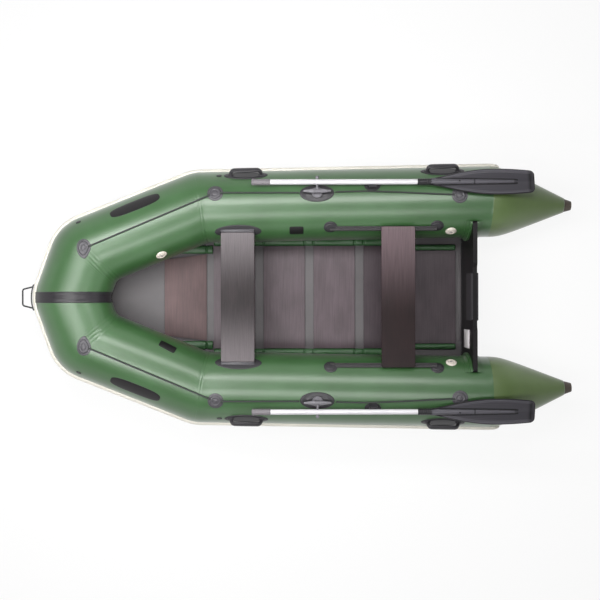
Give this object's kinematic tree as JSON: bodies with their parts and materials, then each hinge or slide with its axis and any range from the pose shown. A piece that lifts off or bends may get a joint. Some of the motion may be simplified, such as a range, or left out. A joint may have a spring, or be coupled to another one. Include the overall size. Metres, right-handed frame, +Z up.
{
  "type": "inflatable boat",
  "caption": "Inflatable dinghy with slatted plywood floor, motor transom, fixed and sliding bench seats and stowed oars on swivelling rowlocks.",
  "frame": {"origin": "on the ground under the middle of the overall length, on the centreline", "axes": "+X towards the bow, +Y to port, +Z up"},
  "size_m": [3.1514, 1.5528, 0.5186],
  "materials": {
    "pvc_green": "satin",
    "cap_brown": "satin",
    "strake_cream": "satin",
    "bottom_fabric": "satin",
    "floor_fabric": "matte",
    "panel_plywood": "satin",
    "transom_black": "satin",
    "rubber_black": "satin",
    "seat_plywood": "satin",
    "seat_mahogany": "gloss",
    "rail_grey": "satin",
    "rowlock_grey": "satin",
    "oar_alloy": "satin",
    "grip_grey": "matte",
    "blade_black": "satin",
    "rope_black": "matte",
    "valve_white": "satin",
    "eye_steel": "satin"
  },
  "bodies": {
    "root": {"air_valves": "valve_white", "bottom_skin": "bottom_fabric", "bow_band": "rubber_black", "carry_handles": "rubber_black", "cone_caps": "cap_brown", "cone_port": "pvc_green", "cone_starboard": "pvc_green", "drain_plug": "transom_black", "floor_mat": "floor_fabric", "floor_panel_1": "panel_plywood", "floor_panel_2": "panel_plywood", "floor_panel_3": "panel_plywood", "floor_panel_4": "panel_plywood", "floor_panel_5": "panel_plywood", "floor_panel_6": "panel_plywood", "floor_sleeve_port": "pvc_green", "floor_sleeve_starboard": "pvc_green", "lifeline_holders": "rubber_black", "lifeline_port": "rope_black", "lifeline_starboard": "rope_black", "motor_pads": "transom_black", "oar_clip_port": "rubber_black", "oar_clip_starboard": "rubber_black", "rowlock_pad_port": "rubber_black", "rowlock_pad_starboard": "rubber_black", "rub_strake": "strake_cream", "seat_bracket_port": "rubber_black", "seat_bracket_starboard": "rubber_black", "seat_front": "seat_plywood", "seat_rail_port": "rail_grey", "seat_rail_starboard": "rail_grey", "tow_eye": "eye_steel", "transom_board": "transom_black", "transom_holder_port": "rubber_black", "transom_holder_starboard": "rubber_black", "tube_bow": "pvc_green", "tube_port": "pvc_green", "tube_starboard": "pvc_green"},
    "rowlock_port": {"rowlock_turntable_port": "rowlock_grey"},
    "rowlock_starboard": {"rowlock_turntable_starboard": "rowlock_grey"},
    "oar_port": {"rowlock_pin_port": "rowlock_grey", "oar_shaft_port": "oar_alloy", "oar_grip_port": "grip_grey", "oar_blade_port": "blade_black"},
    "oar_starboard": {"rowlock_pin_starboard": "rowlock_grey", "oar_shaft_starboard": "oar_alloy", "oar_grip_starboard": "grip_grey", "oar_blade_starboard": "blade_black"},
    "rear_seat": {"seat_rear": "seat_mahogany", "seat_sliders": "rail_grey"}
  },
  "joints": [
    {"name": "oar_swing_port", "type": "hinge", "parent": "root", "child": "rowlock_port", "pos_m": [-0.099, 0.58313, 0.40721], "axis": [0, -0.2419, -0.9703], "range_deg": [0, 135]},
    {"name": "oar_swing_starboard", "type": "hinge", "parent": "root", "child": "rowlock_starboard", "pos_m": [-0.099, -0.58313, 0.40721], "axis": [0, -0.2419, 0.9703], "range_deg": [0, 135]},
    {"name": "oar_roll_port", "type": "hinge", "parent": "rowlock_port", "child": "oar_port", "pos_m": [-0.099, 0.5916, 0.44117], "axis": [1, 0, 0], "range_deg": [0, 90]},
    {"name": "oar_roll_starboard", "type": "hinge", "parent": "rowlock_starboard", "child": "oar_starboard", "pos_m": [-0.099, -0.5916, 0.44117], "axis": [-1, 0, 0], "range_deg": [0, 90]},
    {"name": "rear_seat_slide", "type": "slide", "parent": "root", "child": "rear_seat", "axis": [1, 0, 0], "range_m": [-0.08, 0.245]}
  ]
}
